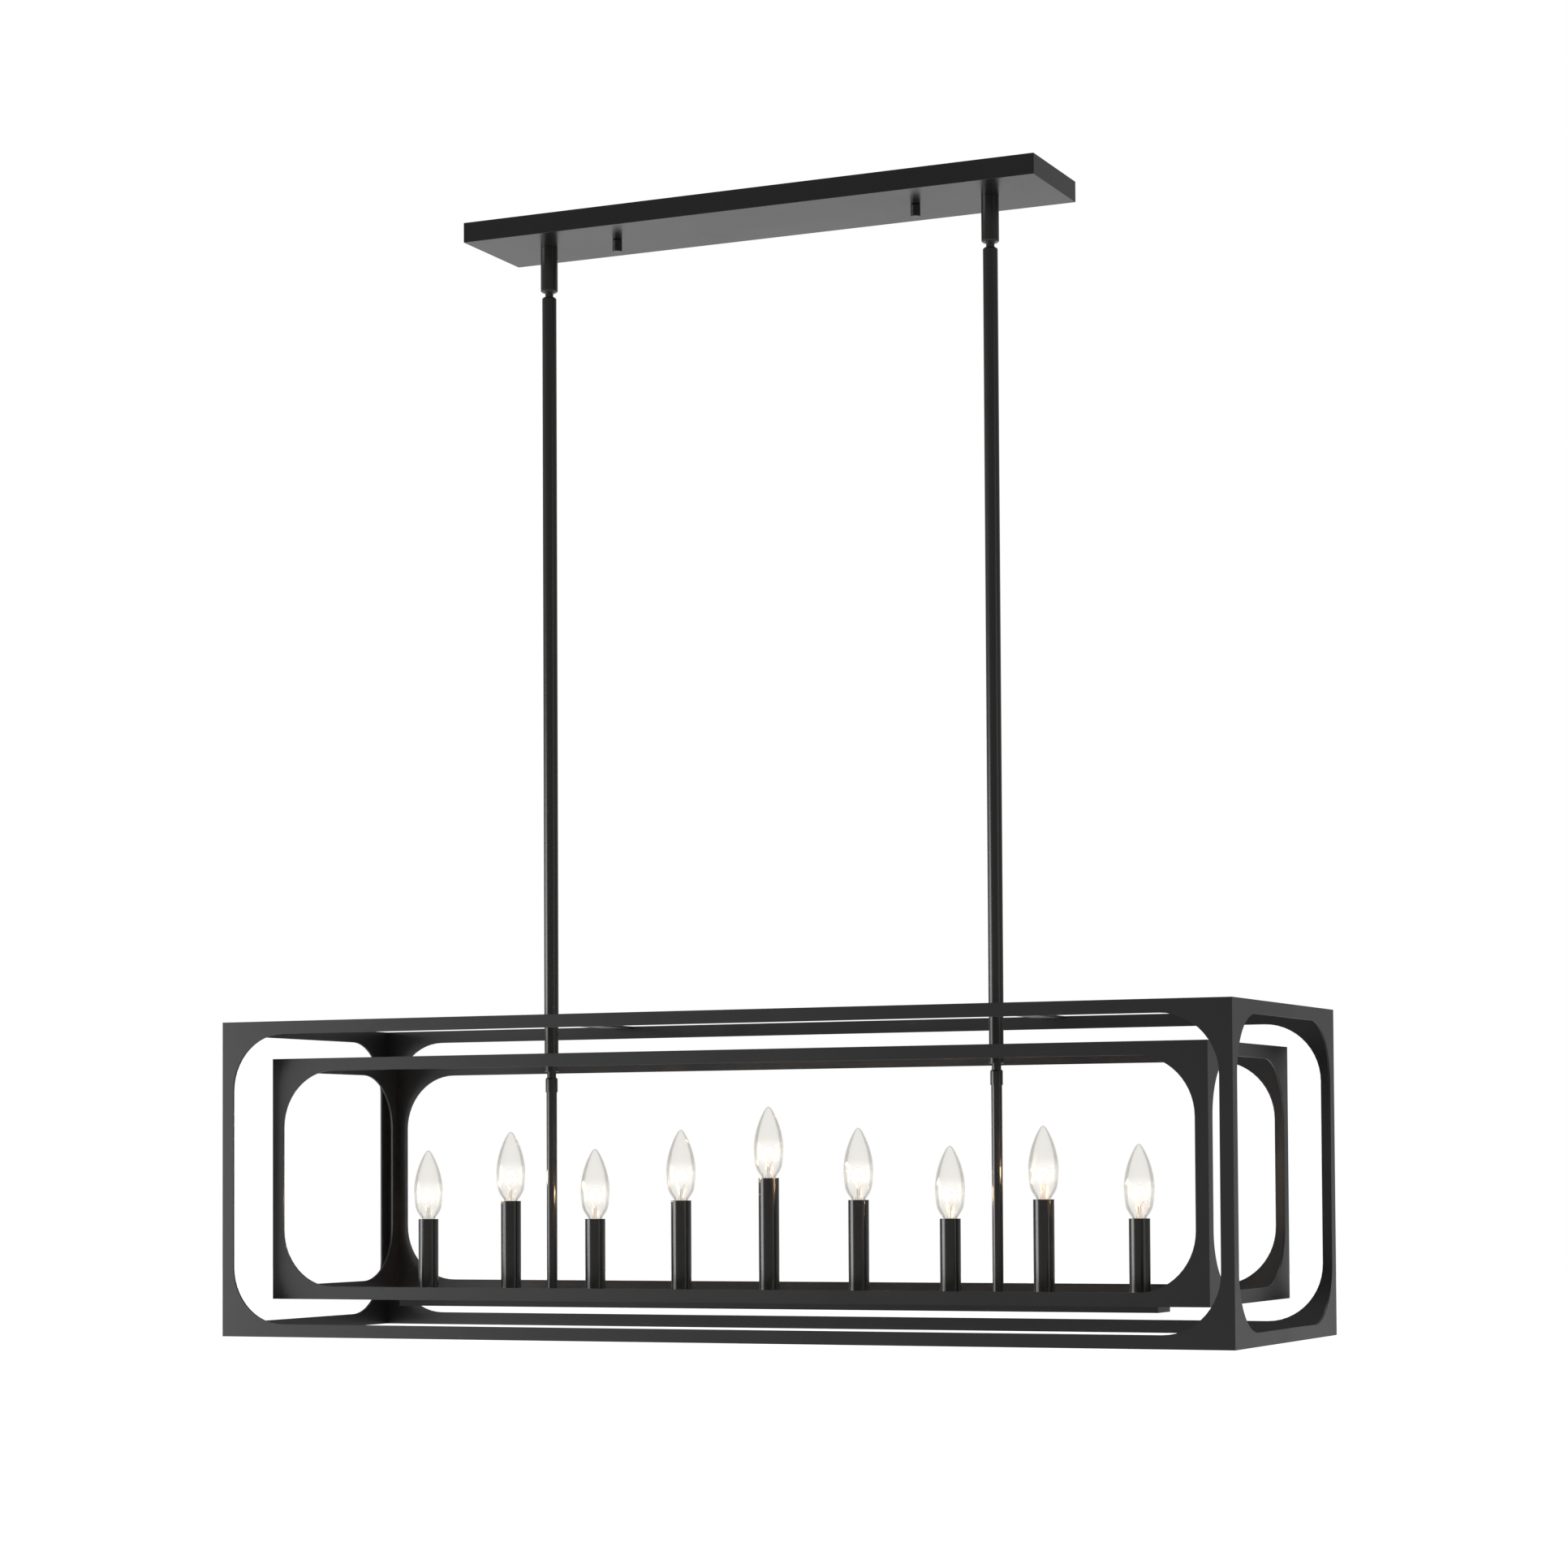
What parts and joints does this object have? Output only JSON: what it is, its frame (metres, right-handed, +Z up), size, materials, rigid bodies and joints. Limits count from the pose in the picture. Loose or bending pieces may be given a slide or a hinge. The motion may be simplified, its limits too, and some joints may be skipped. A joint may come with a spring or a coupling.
{
  "type": "linear island pendant",
  "caption": "Linear island pendant: two nested open rectangular cages of flat bar with rounded window corners on twin stems from a long canopy, with a row of candle lights inside.",
  "frame": {"origin": "centre of the ceiling plane, on the top face of the mounting bar", "axes": "+X along the pendant, -Y its front, +Z up into the ceiling; the pendant hangs towards -Z"},
  "size_m": [1.166, 0.345, 1.234],
  "materials": {
    "black_powder": "satin black powder coat on steel",
    "sleeve_black": "satin black painted steel tube",
    "zinc_steel": "zinc-plated steel",
    "green_screw": "green earth screw",
    "socket_plastic": "moulded lampholder",
    "bulb_glass": "clear blown glass",
    "bulb_cap": "plated screw cap",
    "filament": "lit filament"
  },
  "bodies": {
    "canopy": {"mounting_bar": "zinc_steel", "ground_screw": "green_screw", "canopy_studs": "zinc_steel", "stud_nuts": "zinc_steel", "canopy_pan": "black_powder", "swivel_plugs": "zinc_steel", "canopy_washers": "zinc_steel", "canopy_nuts": "zinc_steel", "swivel_collars": "black_powder"},
    "knob_left": {"canopy_knob_left": "black_powder"},
    "knob_right": {"canopy_knob_right": "black_powder"},
    "pendant": {"candle_sleeve_1": "sleeve_black", "candle_sleeve_2": "sleeve_black", "candle_sleeve_3": "sleeve_black", "candle_sleeve_4": "sleeve_black", "candle_sleeve_5": "sleeve_black", "candle_sleeve_6": "sleeve_black", "candle_sleeve_7": "sleeve_black", "candle_sleeve_8": "sleeve_black", "candle_sleeve_9": "sleeve_black", "cover_screws": "black_powder", "hub_nuts": "black_powder", "inner_back_side": "black_powder", "inner_front_side": "black_powder", "inner_left_end": "black_powder", "inner_right_end": "black_powder", "inner_strap_left": "black_powder", "inner_strap_right": "black_powder", "leg_pipes": "zinc_steel", "lower_tube_left": "black_powder", "lower_tube_right": "black_powder", "outer_back_side": "black_powder", "outer_front_side": "black_powder", "outer_left_end": "black_powder", "outer_right_end": "black_powder", "outer_strap_left": "black_powder", "outer_strap_right": "black_powder", "socket_legs": "zinc_steel", "sockets": "socket_plastic", "spacer_tubes": "black_powder", "stem_pipes": "black_powder", "swivel_balls": "black_powder", "tray_bosses": "black_powder", "tray_cover": "black_powder", "tray_end_caps": "black_powder", "tray_nuts": "zinc_steel", "tray_plate": "black_powder", "tray_rails": "black_powder", "tube_couplings": "black_powder", "upper_rod_left": "black_powder", "upper_rod_right": "black_powder"},
    "bulb_1": {"bulb_1": "bulb_glass"},
    "bulb_2": {"bulb_2": "bulb_glass"},
    "bulb_3": {"bulb_3": "bulb_glass"},
    "bulb_4": {"bulb_4": "bulb_glass"},
    "bulb_5": {"bulb_5": "bulb_glass"},
    "bulb_6": {"bulb_6": "bulb_glass"},
    "bulb_7": {"bulb_7": "bulb_glass"},
    "bulb_8": {"bulb_8": "bulb_glass"},
    "bulb_9": {"bulb_9": "bulb_glass"}
  },
  "joints": [
    {"name": "pendant_swing", "type": "hinge", "parent": "canopy", "child": "pendant", "pos_m": [0, 0, -0.0674], "axis": [1, 0, 0], "range_deg": [-15, 15]},
    {"name": "knob_left_turn", "type": "hinge", "parent": "canopy", "child": "knob_left", "pos_m": [-0.18, 0, -0.03], "axis": [0, 0, 1], "continuous": true},
    {"name": "knob_right_turn", "type": "hinge", "parent": "canopy", "child": "knob_right", "pos_m": [0.18, 0, -0.03], "axis": [0, 0, 1], "continuous": true},
    {"name": "bulb_1_lift", "type": "slide", "parent": "pendant", "child": "bulb_1", "axis": [0, 0, 1], "range_m": [0, 0.03]},
    {"name": "bulb_2_lift", "type": "slide", "parent": "pendant", "child": "bulb_2", "axis": [0, 0, 1], "range_m": [0, 0.03]},
    {"name": "bulb_3_lift", "type": "slide", "parent": "pendant", "child": "bulb_3", "axis": [0, 0, 1], "range_m": [0, 0.03]},
    {"name": "bulb_4_lift", "type": "slide", "parent": "pendant", "child": "bulb_4", "axis": [0, 0, 1], "range_m": [0, 0.03]},
    {"name": "bulb_5_lift", "type": "slide", "parent": "pendant", "child": "bulb_5", "axis": [0, 0, 1], "range_m": [0, 0.03]},
    {"name": "bulb_6_lift", "type": "slide", "parent": "pendant", "child": "bulb_6", "axis": [0, 0, 1], "range_m": [0, 0.03]},
    {"name": "bulb_7_lift", "type": "slide", "parent": "pendant", "child": "bulb_7", "axis": [0, 0, 1], "range_m": [0, 0.03]},
    {"name": "bulb_8_lift", "type": "slide", "parent": "pendant", "child": "bulb_8", "axis": [0, 0, 1], "range_m": [0, 0.03]},
    {"name": "bulb_9_lift", "type": "slide", "parent": "pendant", "child": "bulb_9", "axis": [0, 0, 1], "range_m": [0, 0.03]}
  ]
}
